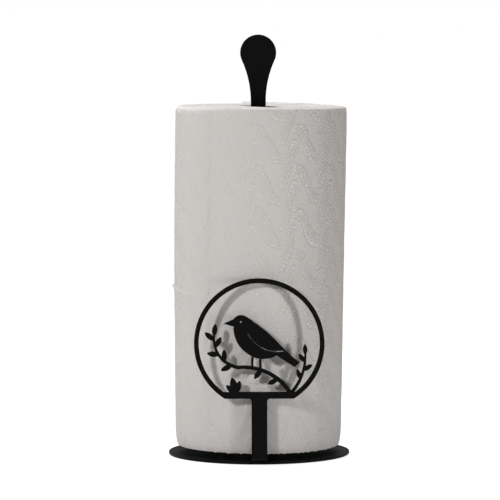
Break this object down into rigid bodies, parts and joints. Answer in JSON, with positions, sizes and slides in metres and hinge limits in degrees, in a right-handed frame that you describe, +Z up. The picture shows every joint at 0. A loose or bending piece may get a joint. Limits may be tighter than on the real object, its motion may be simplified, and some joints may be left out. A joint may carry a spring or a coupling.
{
  "type": "paper towel holder",
  "caption": "Countertop paper towel holder of flat black steel: round base, paddle-topped post and a ringed bird cut-out arm, with a roll that turns and lifts off.",
  "frame": {"origin": "on the post's axis at the underside of the base plate", "axes": "+Z up along the post, -Y to the front where the arm stands, +X to the right of someone facing it"},
  "size_m": [0.15, 0.154, 0.3476],
  "materials": {
    "black_coat": "satin",
    "screw_steel": "satin",
    "core_board": "matte",
    "towel_paper": "matte"
  },
  "bodies": {
    "holder": {"base_plate": "black_coat", "centre_post": "black_coat", "front_arm": "black_coat", "post_screws": "screw_steel", "arm_screws": "screw_steel"},
    "core": {"core_tube": "core_board"},
    "paper": {"paper_roll": "towel_paper", "loose_sheet": "towel_paper"}
  },
  "joints": [
    {"name": "roll_lift", "type": "slide", "parent": "holder", "child": "core", "axis": [0, 0, 1], "range_m": [0, 0.345]},
    {"name": "roll_spin", "type": "hinge", "parent": "core", "child": "paper", "pos_m": [0, 0, 0.148], "axis": [0, 0, 1], "continuous": true}
  ]
}
